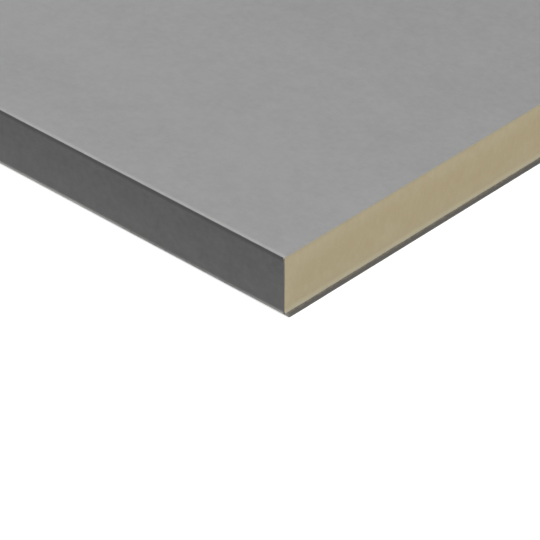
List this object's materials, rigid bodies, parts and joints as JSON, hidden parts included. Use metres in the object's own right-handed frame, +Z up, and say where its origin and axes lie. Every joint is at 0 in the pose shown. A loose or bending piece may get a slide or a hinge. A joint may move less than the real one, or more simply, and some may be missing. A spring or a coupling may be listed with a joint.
{
  "type": "polyiso roof insulation board",
  "caption": "Flat square rigid foam roof insulation board: tan polyiso core, light grey top facer, dark grey facer under it and up both long sides, bare sawn ends.",
  "frame": {"origin": "centre of the underside, on the level floor that the board lies on", "axes": "+Z up through the thickness; X along the two wrapped sides, so that the sawn ends face +X and -X; Y across, so that the wrapped sides face +Y and -Y"},
  "size_m": [1.2192, 1.2192, 0.0254],
  "materials": {
    "foam_core": "matt closed-cell foam, sawn",
    "top_facer": "matt fibre-reinforced felt, light grey",
    "wrap_facer": "matt fibre-reinforced felt, dark grey"
  },
  "bodies": {
    "root": {"foam_core": "foam_core", "top_facer": "top_facer", "wrap_facer": "wrap_facer"}
  },
  "joints": []
}
